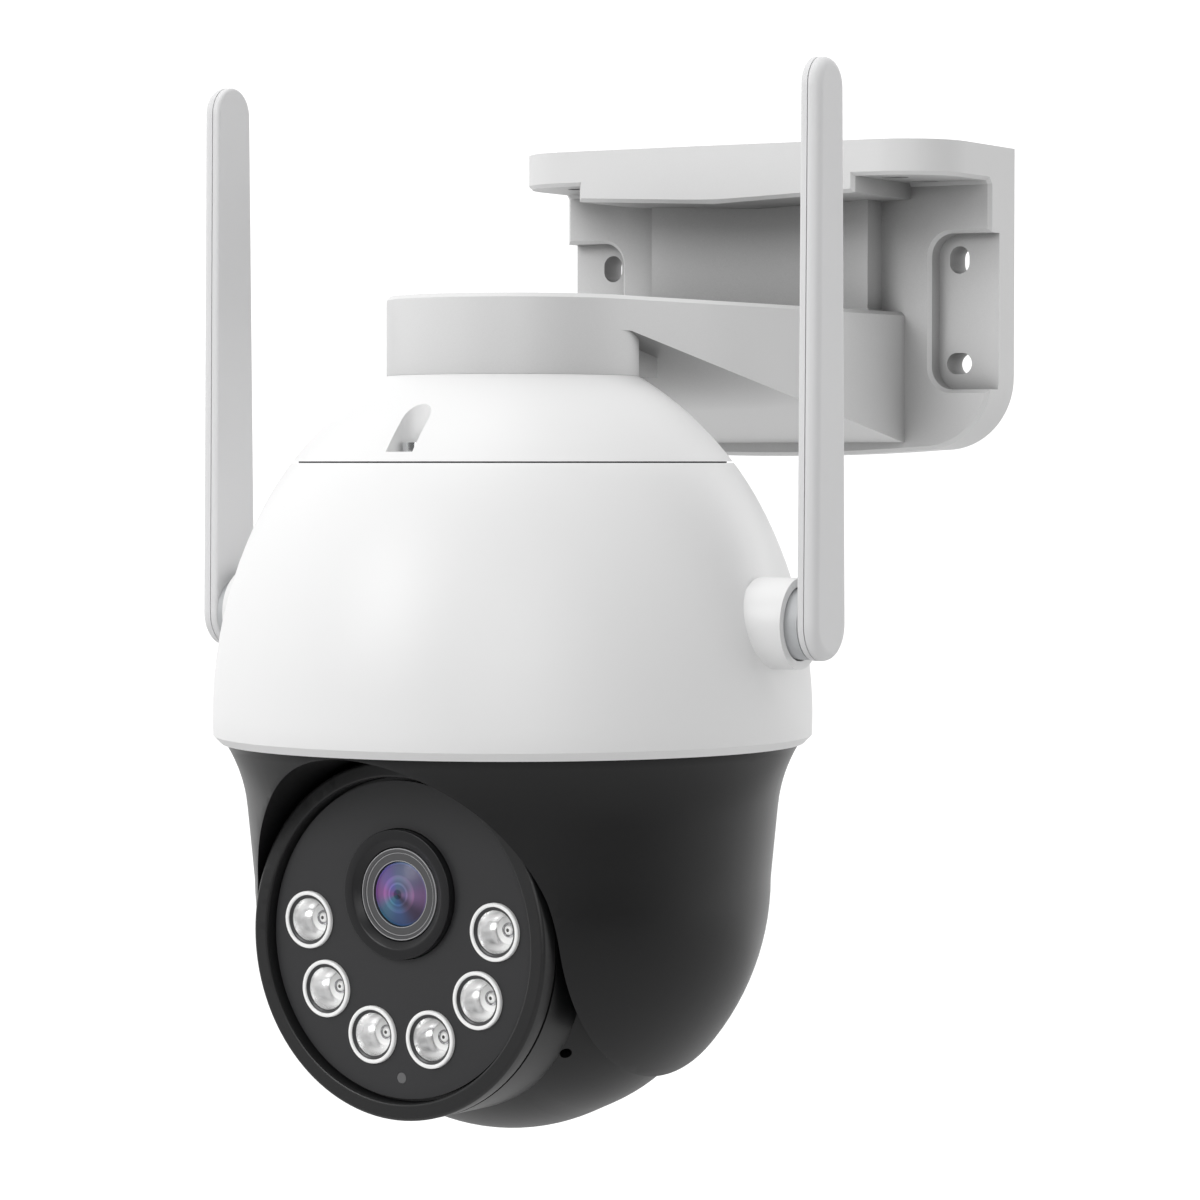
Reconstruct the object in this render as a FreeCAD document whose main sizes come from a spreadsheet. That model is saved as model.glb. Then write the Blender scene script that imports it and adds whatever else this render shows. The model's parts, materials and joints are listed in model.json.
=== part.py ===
import FreeCAD, Part
import math
import os

import Sketcher
from FreeCAD import Placement, Rotation, Vector
from fcgear import fcgear, involute

# Outdoor pan and tilt camera on a wall or ceiling bracket, in millimetres.
# The row frame has its origin on the wall face, at the centre of the four wall slots.
# +Z is up, +Y points into the wall, and the camera looks along -Y.
# Most pieces are drawn in the dome frame: its Z axis is the pan axis, and its
# origin is level with the seam between the dome's cap and its housing.

doc = FreeCAD.newDocument("ptz_camera")

SIZES = {
    # where things are
    "axis_to_wall": 126.0, "slots_above_seam": 33.0, "pan_rest": -4.3, "tilt_height": -92.5,
    "play": 0.05, "wall": 2.4,
    # wall and ceiling bracket
    "plate_half": 53.2, "plate_thick": 12.6, "plate_top": 68.85, "plate_low": 2.7, "plate_bow": 1.3,
    "plate_corner": 16.0, "ceiling_front": 85.2, "ceiling_bow": 0.9, "ceiling_corner": 15.0,
    "ceiling_under": 61.2, "beam_half": 34.0, "beam_side": 57.7, "beam_mid": 56.2,
    "column_half": 27.0, "column_proud": 7.2, "pocket_half": 38.8, "pocket_low": 15.9,
    "pocket_high": 50.0, "pocket_floor": 8.0, "pocket_corner": 5.0, "slot_half_wide": 2.35,
    "slot_long": 6.0, "wall_slot_x": 43.7, "wall_slot_high": 44.35, "wall_slot_low": 21.65,
    "ceiling_slot_x": 39.0, "ceiling_slot_front": 95.0, "ceiling_slot_back": 110.0,
    "neck_radius": 25.3, "neck_low": 17.2, "neck_high": 28.2, "neck_block": 36.0,
    "neck_block_end": 27.3, "arm_top": 33.0, "arm_flare": 3.66, "arm_near": 26.0,
    "arm_root": 3.9, "neck_bore": 20.0, "neck_roof": 29.0, "neck_screw_circle": 16.0,
    "edge_break": 0.8,
    # dome
    "dome_radius": 60.1, "dome_centre": -50.7, "dome_lower_arc": 90.5, "dome_upper_arc": 67.7,
    "dome_joint": -10.9, "seam_gap": 0.3,
    "skirt_low": -54.4, "skirt_end": -56.0, "skirt_inner": 57.9, "skirt_inner_top": -44.5,
    "screw_circle": 36.5, "channel_half": 3.0, "channel_floor": 2.0, "cable_hole": 9.0,
    "boss_height": -31.2, "boss_radius": 8.9, "boss_bore": 7.25, "boss_face": 64.7,
    "boss_floor": 58.2, "pivot_radius": 3.0,
    # antennas
    "blade_inner": 67.3, "blade_half_thick": 1.6, "blade_crown": 0.9, "blade_root": 7.1,
    "blade_tip": 5.75, "blade_long": 103.15, "blade_seam": 0.1,
    # pan drive
    "chassis_top": -37.0, "chassis_thick": 3.0, "chassis_radius": 55.6,
    "chassis_screw_circle": 51.5, "bearing_outer": 21.0, "bearing_inner": 15.0,
    "bearing_wide": 7.0, "bearing_low": -39.2, "bearing_ball": 1.9, "ball_count": 14,
    "lid_top": -46.5, "lid_thick": 3.0, "lid_radius": 54.5, "hub_bore": 9.0,
    "gear_module": 1.0, "gear_teeth": 64, "pinion_teeth": 12, "gear_wide": 4.5, "mesh_play": 0.3,
    "motor_radius": 13.0, "motor_long": 15.0, "motor_offset": 8.0, "motor_boss": 4.5,
    "motor_shaft": 2.5,
    # yoke
    "yoke_sphere": 51.8, "yoke_centre": -83.3, "yoke_waist": 53.2, "yoke_waist_height": -69.0,
    "yoke_rim": 57.2, "yoke_rim_height": -56.5, "yoke_flare": 29.4, "opening_half": 36.1,
    "module_play": 1.2, "lip_back": 35.6,
    # tilting camera module
    "ball_half": 34.7, "ball_middle": 41.1, "ball_turn": 24.0, "ball_flat": 5.0,
    "snout_radius": 35.0, "shell_front": 35.1, "ring_front": 39.6, "ring_inner": 31.6,
    "panel_front": 37.6, "panel_back": 35.6, "panel_radius": 30.9, "lens_up": 8.9,
    "bezel_radius": 12.8, "bezel_proud": 1.7, "barrel_radius": 9.0, "barrel_proud": 0.75,
    "glass_radius": 6.35, "led_circle": 22.4, "led_circle_up": 2.4, "led_first": 1.25,
    "led_step": 36.35, "led_count": 6, "cup_radius": 5.65, "cup_proud": 0.8,
    "led_board_front": 30.4, "board_thick": 1.6, "sensor_board_front": 16.0,
    "light_sensor_radius": 1.1, "light_sensor_down": 26.9, "trunnion": 5.0,
    "tilt_motor_radius": 12.0, "tilt_motor_offset": 5.0, "tilt_motor_long": 15.0,
}


def make_sheet():
    """Write each driving dimension in a row of its own, with its name as alias."""
    sheet = doc.addObject("Spreadsheet::Sheet", "Sizes")
    for row, (name, value) in enumerate(SIZES.items(), start=1):
        sheet.set("A%d" % row, name)
        sheet.set("B%d" % row, str(value))
        sheet.setAlias("B%d" % row, name)
    doc.recompute()
    return sheet


class Formula:
    """A size from the sheet: the text that binds a property to it, and its value now."""

    def __init__(self, text, value):
        self.text = text
        self.value = float(value)

    @staticmethod
    def of(other):
        return other if isinstance(other, Formula) else Formula(repr(float(other)), other)

    def __add__(self, other):
        other = Formula.of(other)
        return Formula("(%s + %s)" % (self.text, other.text), self.value + other.value)

    def __sub__(self, other):
        other = Formula.of(other)
        return Formula("(%s - %s)" % (self.text, other.text), self.value - other.value)

    def __mul__(self, other):
        other = Formula.of(other)
        return Formula("(%s * %s)" % (self.text, other.text), self.value * other.value)

    def __truediv__(self, other):
        other = Formula.of(other)
        return Formula("(%s / %s)" % (self.text, other.text), self.value / other.value)

    def __neg__(self):
        return Formula("(0 - %s)" % self.text, -self.value)

    def __radd__(self, other):
        return Formula.of(other) + self

    def __rsub__(self, other):
        return Formula.of(other) - self

    def __rmul__(self, other):
        return Formula.of(other) * self


class SizeTable:
    """Hands out each named size of the sheet as a Formula."""

    def __getattr__(self, name):
        return Formula("Sizes." + name, sheet.get(name))


def sine(degrees):
    degrees = Formula.of(degrees)
    return Formula("sin(%s)" % degrees.text, math.sin(math.radians(degrees.value)))


def cosine(degrees):
    degrees = Formula.of(degrees)
    return Formula("cos(%s)" % degrees.text, math.cos(math.radians(degrees.value)))


def root(number):
    return Formula("sqrt(%s)" % number.text, math.sqrt(number.value))


sheet = make_sheet()
size = SizeTable()
pieces = []


def bind(thing, **properties):
    """Bind properties of a document object to formulas; a double underscore stands for a dot."""
    for name, value in properties.items():
        thing.setExpression(name.replace("__", "."), Formula.of(value).text)


def finish(thing, label, place):
    """Name a finished sub-part, put it in the row frame and keep it for the export."""
    thing.Label = label
    thing.Placement = place
    pieces.append(thing)
    return thing


def frames():
    """Placements of the dome, pan, tilt and face frames in the row frame."""
    dome = Placement(Vector(0, -size.axis_to_wall.value, -size.slots_above_seam.value), Rotation())
    pan = dome * Placement(Vector(), Rotation(Vector(0, 0, 1), size.pan_rest.value))
    tilt = pan * Placement(Vector(0, 0, size.tilt_height.value), Rotation())
    face = tilt * Placement(Vector(), Rotation(Vector(1, 0, 0), 90))
    return dome, pan, tilt, face


DOME, PAN, TILT, FACE = frames()
ALONG_X = Rotation(Vector(0, 1, 0), 90)
ALONG_MINUS_X = Rotation(Vector(0, 1, 0), -90)
ALONG_MINUS_Y = Rotation(Vector(1, 0, 0), 90)
UPRIGHT = Rotation()


# ---------------------------------------------------------------- sketches and features

def new_body(name):
    return doc.addObject("PartDesign::Body", name)


def origin_feature(body, role):
    return [item for item in body.Origin.OriginFeatures if item.Role == role][0]


def arc_of(start, end, radius, clockwise):
    """The shorter arc between two points, on the side that its turn gives."""
    chord = end - start
    reach = math.sqrt(max(radius ** 2 - (chord.Length / 2) ** 2, 0.0))
    left = Vector(-chord.y, chord.x, 0).normalize()
    centre = start + chord * 0.5 + left * (-reach if clockwise else reach)
    first, last = (end, start) if clockwise else (start, end)
    circle = Part.Circle(centre, Vector(0, 0, 1), radius)
    angles = [math.atan2(point.y - centre.y, point.x - centre.x) for point in (first, last)]
    return Part.ArcOfCircle(circle, angles[0], angles[1])


def pin_to(sketch, edge, end, across, up):
    """Hold a corner of a sketch at its two coordinates."""
    for kind, axis, value in (("DistanceX", -2, across), ("DistanceY", -1, up)):
        if abs(value.value) < 1e-9:
            sketch.addConstraint(Sketcher.Constraint("PointOnObject", edge, end, axis))
            continue
        index = sketch.addConstraint(Sketcher.Constraint(kind, -1, 1, edge, end, value.value))
        sketch.setExpression("Constraints[%d]" % index, value.text)


def draw(sketch, outline):
    """Draw a closed outline: corners are (x, y), or (x, y, radius, turn) where an arc leaves."""
    corners = [tuple(Formula.of(value) for value in corner[:2]) for corner in outline]
    points = [Vector(across.value, up.value, 0) for across, up in corners]
    ends = []
    for index, corner in enumerate(outline):
        start, end = points[index], points[(index + 1) % len(points)]
        if len(corner) == 4:
            radius, clockwise = Formula.of(corner[2]), corner[3] == "right"
            edge = sketch.addGeometry(arc_of(start, end, radius.value, clockwise), False)
            if abs((end - start).Length - 2 * radius.value) < 1e-6:
                half_turn = Sketcher.Constraint("Symmetric", edge, 1, edge, 2, edge, 3)
                sketch.addConstraint(half_turn)
            else:
                held = sketch.addConstraint(Sketcher.Constraint("Radius", edge, radius.value))
                sketch.setExpression("Constraints[%d]" % held, radius.text)
            ends.append((edge, 2, 1) if clockwise else (edge, 1, 2))
        else:
            ends.append((sketch.addGeometry(Part.LineSegment(start, end), False), 1, 2))
    for index, (edge, first, last) in enumerate(ends):
        after = ends[(index + 1) % len(ends)]
        sketch.addConstraint(Sketcher.Constraint("Coincident", edge, last, after[0], after[1]))
        pin_to(sketch, edge, first, *corners[index])


def sketch_on(body, plane, outline, offset=0.0):
    """A sketch on one of the body's own origin planes, moved along the plane's normal."""
    sketch = body.newObject("Sketcher::SketchObject", "Sketch")
    sketch.AttachmentSupport = [(origin_feature(body, plane), "")]
    sketch.MapMode = "FlatFace"
    bind(sketch, AttachmentOffset__Base__z=offset)
    draw(sketch, outline)
    return sketch


def pad(body, plane, outline, length, offset=0.0):
    feature = body.newObject("PartDesign::Pad", "Pad")
    feature.Profile = sketch_on(body, plane, outline, offset)
    bind(feature, Length=length)
    return feature


def pocket(body, plane, outline, length, offset=0.0):
    """Cut along the plane's normal, from the sketch."""
    feature = body.newObject("PartDesign::Pocket", "Pocket")
    feature.Profile = sketch_on(body, plane, outline, offset)
    feature.Reversed = True
    bind(feature, Length=length)
    return feature


def revolve(body, outline, kind="PartDesign::Revolution"):
    """Turn an outline in the XZ plane a full turn about the Z axis."""
    feature = body.newObject(kind, "Turned")
    sketch = sketch_on(body, "XZ_Plane", outline)
    feature.Profile = sketch
    feature.ReferenceAxis = (sketch, ["V_Axis"])
    feature.Angle = 360.0
    return feature


def block(body, kind, centre_x, wide, low_y, deep, low_z, tall):
    """A box added to or cut from a body, centred across X."""
    feature = body.newObject("PartDesign::%sBox" % kind, "Block")
    bind(feature, Length=wide, Width=deep, Height=tall)
    bind(feature, Placement__Base__x=centre_x - Formula.of(wide) / 2, Placement__Base__y=low_y,
         Placement__Base__z=low_z)
    return feature


def rod(body, kind, radius, long, at, turn=UPRIGHT):
    """A cylinder added to or cut from a body, from its base point along its turned Z axis."""
    feature = body.newObject("PartDesign::%sCylinder" % kind, "Rod")
    feature.Placement = Placement(Vector(), turn)
    bind(feature, Radius=radius, Height=long)
    bind(feature, Placement__Base__x=at[0], Placement__Base__y=at[1], Placement__Base__z=at[2])
    return feature


def mirror(body, originals, plane="YZ_Plane"):
    """Repeat features on the other side of one of the body's planes."""
    feature = body.newObject("PartDesign::Mirrored", "Mirror")
    feature.Originals = originals
    feature.MirrorPlane = (origin_feature(body, plane), [""])
    body.Tip = feature
    return feature


def ease(body, kind, amount, wanted):
    """Fillet or chamfer the edges of the body's last feature whose box passes a test."""
    doc.recompute()
    base = body.Tip
    names = ["Edge%d" % (index + 1) for index, edge in enumerate(base.Shape.Edges)
             if wanted(edge.BoundBox, edge)]
    feature = body.newObject("PartDesign::" + kind, kind)
    feature.Base = (base, names)
    bind(feature, **{"Radius" if kind == "Fillet" else "Size": amount})
    return feature


def ring(label, place, inner, outer, low, high):
    """A turned ring of rectangular section, or a disc where the inner radius is nothing."""
    body = new_body(label)
    revolve(body, [(inner, low), (outer, low), (outer, high), (inner, high)])
    return finish(body, label, place)


def primitive(kind, place, **properties):
    thing = doc.addObject("Part::" + kind, kind)
    bind(thing, **properties)
    thing.Placement = place
    return thing


def group(label, place, members):
    """Several separate solids that share one node."""
    together = doc.addObject("Part::Compound", label)
    together.Links = members
    return finish(together, label, place)


SCREW_SLOT = 0.8


def screw(at, head_radius, head_tall, shank_radius, shank_long, turn=UPRIGHT):
    """A pan-head screw: its head stands on the base point, its shank goes the other way."""
    place = Placement(Vector(*[Formula.of(value).value for value in at]), turn)
    head = primitive("Cylinder", place, Radius=head_radius, Height=head_tall)
    down = place * Placement(Vector(0, 0, -Formula.of(shank_long).value), UPRIGHT)
    shank = primitive("Cylinder", down, Radius=shank_radius, Height=shank_long)
    slot_wide = Formula.of(head_radius) * 1.2
    slot_low = Vector(-slot_wide.value / 2, -SCREW_SLOT / 2, Formula.of(head_tall).value * 0.5)
    slot = primitive("Box", place * Placement(slot_low, UPRIGHT), Length=slot_wide, Width=SCREW_SLOT,
                     Height=head_tall)
    whole = doc.addObject("Part::Fuse", "ScrewBlank")
    whole.Base, whole.Tool = head, shank
    cut = doc.addObject("Part::Cut", "Screw")
    cut.Base, cut.Tool = whole, slot
    return cut


def around(count, radius, first=0.0, step=None):
    """Points on a circle about the Z axis."""
    step = 360.0 / count if step is None else step
    return [(radius * cosine(first + step * index), radius * sine(first + step * index))
            for index in range(count)]


# ---------------------------------------------------------------- bracket

def slot_outline(centre_x, centre_y, half_wide, long, upright=False):
    """A slot with round ends, lying along X or standing along Y."""
    half = long / 2 - half_wide
    if upright:
        return [(centre_x + half_wide, centre_y - half), (centre_x + half_wide, centre_y + half,
                half_wide, "left"), (centre_x - half_wide, centre_y + half),
                (centre_x - half_wide, centre_y - half, half_wide, "left")]
    return [(centre_x - half, centre_y - half_wide), (centre_x + half, centre_y - half_wide,
            half_wide, "left"), (centre_x + half, centre_y + half_wide),
            (centre_x - half, centre_y + half_wide, half_wide, "left")]


def bow_radius(half_chord, rise):
    return (half_chord * half_chord + rise * rise) / (2 * rise)


def wall_plate(body):
    half, corner, low = size.plate_half, size.plate_corner, size.plate_low
    inner = half - corner
    bow = bow_radius(inner, size.plate_bow)
    outline = [(half, size.plate_top), (-half, size.plate_top), (-half, low + corner, corner, "left"),
               (-inner, low, bow, "left"), (inner, low, corner, "left"), (half, low + corner)]
    pad(body, "XZ_Plane", outline, size.plate_thick, -size.axis_to_wall)


def ceiling_plate(body):
    """The upper plate with its thicker middle, its front trimmed to a bowed outline."""
    half, middle, under = size.plate_half, size.beam_half, size.ceiling_under
    front = size.ceiling_front - size.ceiling_bow
    section = [(half, size.plate_top), (-half, size.plate_top), (-half, under), (-middle, under),
               (-middle, size.beam_side), (0, size.beam_mid), (middle, size.beam_side),
               (middle, under), (half, under)]
    wall_front = size.axis_to_wall - size.plate_thick
    pad(body, "XZ_Plane", section, wall_front - front + 1, -wall_front - 1)
    corner = size.ceiling_corner
    inner, outside = half - corner, half + 5
    bow = bow_radius(inner, size.ceiling_bow)
    trim = [(-outside, size.ceiling_front + corner), (-half, size.ceiling_front + corner, corner, "left"),
            (-inner, size.ceiling_front, bow, "left"), (inner, size.ceiling_front, corner, "left"),
            (half, size.ceiling_front + corner), (outside, size.ceiling_front + corner),
            (outside, front - 5), (-outside, front - 5)]
    pocket(body, "XY_Plane", trim, 20, size.beam_mid - 5)


def arm_outline():
    """Plan of the arm: the round neck end, flaring towards the wall."""
    neck, flare = size.neck_radius, size.arm_flare
    root_y = size.axis_to_wall - size.plate_thick + 1
    root_half = (neck + root_y * sine(flare)) / cosine(flare)
    across, along = neck * cosine(flare), -(neck * sine(flare))
    return [(root_half, root_y), (-root_half, root_y), (-across, along, neck, "left"), (across, along)]


def bracket_arm(body):
    """The arm with its sloping underside, the neck and the way for the cable."""
    root_y = size.axis_to_wall - size.plate_thick + 1
    arm = new_body("ArmBlank")
    pad(arm, "XY_Plane", arm_outline(), size.arm_top - 1, 1)
    under = [(-40, size.arm_near + 1), (-40, 0), (root_y + 1, 0), (root_y + 1, size.arm_root),
             (3, size.arm_near)]
    pocket(arm, "YZ_Plane", under, 120, -60)
    block(arm, "Additive", 0, size.neck_block, 0, size.neck_block_end, size.neck_low,
          size.neck_high - size.neck_low)
    rod(arm, "Additive", size.neck_radius, size.arm_top - size.neck_low, (0, 0, size.neck_low))
    doc.recompute()
    boolean = body.newObject("PartDesign::Boolean", "JoinArm")
    boolean.Type = "Fuse"
    boolean.addObject(arm)
    body.Tip = boolean
    rod(body, "Subtractive", size.neck_bore, size.neck_roof - size.neck_low, (0, 0, size.neck_low))
    neck_screw_posts(body)


def neck_screw_posts(body):
    """Posts in the hollow neck that take the screws from inside the dome."""
    low, tall = size.neck_low, size.neck_roof - size.neck_low
    for across, along in neck_screw_points():
        rod(body, "Additive", 3.6, tall + 1, (across, along, low))
    for across, along in neck_screw_points():
        rod(body, "Subtractive", 1.3, tall, (across, along, low))


def neck_screw_points():
    return around(3, size.neck_screw_circle, 90)


def side_pockets(body):
    """Screw pockets open to the sides of the wall plate, each with two slots through its floor."""
    edge, low, high = size.plate_half + 5, size.pocket_low, size.pocket_high
    inner, corner = size.pocket_half, size.pocket_corner
    outline = [(edge, low), (edge, high), (inner + corner, high, corner, "left"), (inner, high - corner),
               (inner, low + corner, corner, "left"), (inner + corner, low)]
    floor = size.axis_to_wall - size.pocket_floor
    recess = pocket(body, "XZ_Plane", outline, 10, -floor)
    high_slot = slot_outline(size.wall_slot_x, size.wall_slot_high, size.slot_half_wide,
                             size.slot_long, upright=True)
    low_slot = slot_outline(size.wall_slot_x, size.wall_slot_low, size.slot_half_wide, size.slot_long)
    upper = pocket(body, "XZ_Plane", high_slot, 20, -size.axis_to_wall - 5)
    lower = pocket(body, "XZ_Plane", low_slot, 20, -size.axis_to_wall - 5)
    mirror(body, [recess, upper, lower])


def ceiling_slots(body):
    cuts = []
    for along in (size.ceiling_slot_front, size.ceiling_slot_back):
        outline = slot_outline(size.ceiling_slot_x, along, size.slot_half_wide, size.slot_long)
        cuts.append(pocket(body, "XY_Plane", outline, 20, size.ceiling_under - 5))
    mirror(body, cuts)


BACK_POCKETS = (
    # centre, width, depth, low and high
    (16.5, 25, 8, 36, 62), (16.5, 25, 8, 5, 31), (43, 16, 4, 54, 62), (43, 16, 4, 30, 36),
)


def back_pockets(body):
    """Hollows that lighten the wall face, with ribs left between them."""
    cuts = [block(body, "Subtractive", centre, wide, size.axis_to_wall - deep, 20, low, high - low)
            for centre, wide, deep, low, high in BACK_POCKETS]
    mirror(body, cuts)


def wall_bracket():
    body = new_body("wall_bracket")
    wall_plate(body)
    ceiling_plate(body)
    wall_front = size.axis_to_wall - size.plate_thick
    block(body, "Additive", 0, size.column_half * 2, wall_front - size.column_proud,
          size.column_proud + 1, size.arm_top - 3, size.beam_side - size.arm_top + 4)
    bracket_arm(body)
    side_pockets(body)
    ceiling_slots(body)
    back_pockets(body)
    front = wall_front.value
    top, arm_top, neck = size.plate_top.value, size.arm_top.value, size.neck_low.value

    def rim(box, edge):
        """Long outer edges: the top's, the arm's top edge and the plates' outlines."""
        on_arm_top = abs(box.ZMin - arm_top) < 0.01 and box.ZLength < 0.01 and box.YMin < front - 1
        wall_edge = abs(box.YMin - front) < 0.01 and box.YLength < 0.01
        side_outline = wall_edge and max(box.XMax, -box.XMin) > 38.9 and edge.Length > 3
        low_outline = wall_edge and box.ZMax < 4
        beam = box.ZMax < top - 5 and box.ZMin > 56 and box.YMax < 100 and box.YMin < 92
        neck_ring = abs(box.ZMax - neck) < 0.01 and box.ZLength < 0.01
        return (on_arm_top or side_outline or low_outline or beam) and not neck_ring

    ease(body, "Chamfer", size.edge_break, rim)
    finish(body, "wall_bracket", DOME)


# ---------------------------------------------------------------- dome

def turned_solid(outline):
    body = new_body("TurnedSolid")
    revolve(body, outline)
    return body


def dome_section(inset, low, high):
    """Solid of the dome between two heights, set in from its surface.

    Its outline is two arcs that meet without a corner, the lower one upright at the
    dome's widest height.
    """
    lower, upper = size.dome_lower_arc, size.dome_upper_arc
    centre_r, centre_z = size.dome_radius - lower, size.dome_centre
    rise = size.dome_joint - centre_z
    reach = root(lower * lower - rise * rise)
    ratio, shrink = upper / lower, 1 - inset / lower
    upper_r, upper_z = centre_r + reach - reach * ratio, size.dome_joint - rise * ratio
    joint_r, joint_z = centre_r + reach * shrink, centre_z + rise * shrink

    def reach_at(height):
        if height.value < joint_z.value:
            middle_r, middle_z, arc = centre_r, centre_z, lower - inset
        else:
            middle_r, middle_z, arc = upper_r, upper_z, upper - inset
        away = height - middle_z
        return middle_r + root(arc * arc - away * away)

    low, high = Formula.of(low), Formula.of(high)
    if low.value < joint_z.value:
        bend = [(reach_at(low), low, lower - inset, "left"), (joint_r, joint_z, upper - inset, "left")]
    else:
        bend = [(reach_at(low), low, upper - inset, "left")]
    return turned_solid([(0, low)] + bend + [(reach_at(high), high), (0, high)])


def joined(*members):
    whole = doc.addObject("Part::MultiFuse", "Joined")
    whole.Shapes = list(members)
    return whole


def trimmed(base, *tools):
    cut = doc.addObject("Part::Cut", "Trimmed")
    cut.Base, cut.Tool = base, joined(*tools) if len(tools) > 1 else tools[0]
    return cut


def upright_rod(radius, low, high, across=0.0, along=0.0):
    rod_shape = primitive("Cylinder", Placement(), Radius=radius, Height=high - Formula.of(low))
    bind(rod_shape, Placement__Base__x=across, Placement__Base__y=along, Placement__Base__z=low)
    return rod_shape


def channel(radius_start, half, low, tall, azimuth):
    """A radial block with a round inner end, for a cap screw's channel or its wall."""
    turn = Rotation(Vector(0, 0, 1), azimuth)
    straight = primitive("Box", Placement(), Length=40, Width=half * 2, Height=tall)
    straight.Placement = Placement(turn.multVec(Vector(radius_start.value, -half.value, low.value)), turn)
    end = primitive("Cylinder", Placement(), Radius=half, Height=tall)
    end.Placement = Placement(turn.multVec(Vector(radius_start.value, 0, low.value)), turn)
    return joined(straight, end)


CAP_SCREW_AZIMUTHS = (-90.0, 30.0, 150.0)


def dome_cap():
    """Upper shell with three screw channels and a hole for the cable."""
    low, wall = size.seam_gap / 2, size.wall
    outer = dome_section(Formula.of(0), low, size.neck_low)
    inner = dome_section(wall, low - 1, size.neck_low - wall)
    shell = trimmed(outer, inner)
    walls = [channel(size.screw_circle, size.channel_half + 1.6, low, 16, azimuth)
             for azimuth in CAP_SCREW_AZIMUTHS]
    kept = doc.addObject("Part::Common", "ChannelWalls")
    kept.Base, kept.Tool = joined(*walls), outer
    floors = [channel(size.screw_circle, size.channel_half, size.channel_floor, 30, azimuth)
              for azimuth in CAP_SCREW_AZIMUTHS]
    holes = [upright_rod(1.6, -5, 10, x, y) for x, y in cap_screw_points()]
    holes += [upright_rod(1.6, 10, 20, x, y) for x, y in neck_screw_points()]
    cable = upright_rod(size.cable_hole, 0, 30)
    finish(trimmed(joined(shell, kept), *floors, *holes, cable), "dome_cap", DOME)


def cap_screw_points():
    return [(size.screw_circle * cosine(azimuth), size.screw_circle * sine(azimuth))
            for azimuth in CAP_SCREW_AZIMUTHS]


def antenna_cup(side, radius, near, far):
    """A rod along X on one side of the dome, on the antenna's hinge axis."""
    shape = primitive("Cylinder", Placement(Vector(), ALONG_X if side > 0 else ALONG_MINUS_X),
                      Radius=radius, Height=far - near)
    bind(shape, Placement__Base__x=side * near, Placement__Base__z=size.boss_height)
    return shape


def chassis_screw_points():
    return around(4, size.chassis_screw_circle, 45)


def dome_housing():
    """Lower shell with the skirt, both antenna cups and the inner screw posts."""
    top, wall = -(size.seam_gap / 2), size.wall
    outer = dome_section(Formula.of(0), size.skirt_low, top)
    skirt = primitive("Cone", Placement(), Radius1=size.dome_radius - 1.7, Radius2=size.dome_radius - 0.1,
                      Height=size.skirt_low - size.skirt_end)
    bind(skirt, Placement__Base__z=size.skirt_end)
    inner = dome_section(wall, size.skirt_end - 1, Formula.of(1))
    mouth = upright_rod(size.skirt_inner, size.skirt_end - 1, size.skirt_inner_top)
    shell = trimmed(joined(outer, skirt), inner, mouth)
    cups = [antenna_cup(side, size.boss_radius, 55.9, size.boss_face) for side in (1, -1)]
    posts = [channel(size.screw_circle, Formula.of(4.2), Formula.of(-6.8), 6.8 + top, azimuth)
             for azimuth in CAP_SCREW_AZIMUTHS]
    posts += [upright_rod(5.5, size.chassis_top, size.chassis_top + 9, x, y)
              for x, y in chassis_screw_points()]
    skin = dome_section(Formula.of(0.5), size.skirt_low, top)
    kept = doc.addObject("Part::Common", "PostsInside")
    kept.Base, kept.Tool = joined(*posts), skin
    cuts = [antenna_cup(side, size.boss_bore, size.boss_floor, size.boss_face + 5) for side in (1, -1)]
    cuts += [antenna_cup(side, size.pivot_radius + 0.1, 50, size.boss_face) for side in (1, -1)]
    cuts += [upright_rod(1.3, -9, 1, x, y) for x, y in cap_screw_points()]
    cuts += [upright_rod(1.3, size.chassis_top - 1, size.chassis_top + 7, x, y)
             for x, y in chassis_screw_points()]
    groove = trimmed(upright_rod(42.9, top - 1, top + 1), upright_rod(41.4, top - 2, top + 2))
    finish(trimmed(joined(shell, *cups, kept), *cuts, groove), "dome_housing", DOME)


def dome_trim():
    """The seal between cap and housing, the cap's screws and the cable grommet."""
    top = -(size.seam_gap / 2)
    ring("cap_seal", DOME, 41.45, 42.85, top - 0.95, -top)
    screws = [screw((x, y, size.channel_floor), 2.6, 1.8, 1.25, 7.5) for x, y in cap_screw_points()]
    group("cap_screws", DOME, screws)
    grommet = new_body("cable_grommet")
    low = size.neck_low - size.wall
    revolve(grommet, [(5, low - 2), (11, low - 2), (11, low), (size.cable_hole, low),
                      (size.cable_hole, size.neck_low), (11, size.neck_low), (11, size.neck_low + 2),
                      (5, size.neck_low + 2)])
    finish(grommet, "cable_grommet", DOME)
    screws = [screw((x, y, size.neck_low - size.wall), 2.6, 1.8, 1.25, 10, Rotation(Vector(1, 0, 0), 180))
              for x, y in neck_screw_points()]
    group("neck_screws", DOME, screws)


# ---------------------------------------------------------------- electronics and pan drive

def gear_shape(module, teeth, wide, bore, fillet_angle=20.0):
    """Involute spur gear with a round bore, standing on the XY plane with a tooth on +X."""
    pen = fcgear.FCWireBuilder()
    involute.CreateExternalGear(pen, module, teeth, fillet_angle, True)
    outline = Part.Wire([edge.toShape() for edge in pen.wire])
    blank = Part.Face(outline).extrude(Vector(0, 0, wide))
    return blank.cut(Part.makeCylinder(bore, wide * 3, Vector(0, 0, -wide)))


def gear(label, teeth, bore, place):
    feature = doc.addObject("Part::Feature", label)
    feature.Shape = gear_shape(size.gear_module.value, int(teeth.value), size.gear_wide.value, bore.value)
    return finish(feature, label, place)


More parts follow.
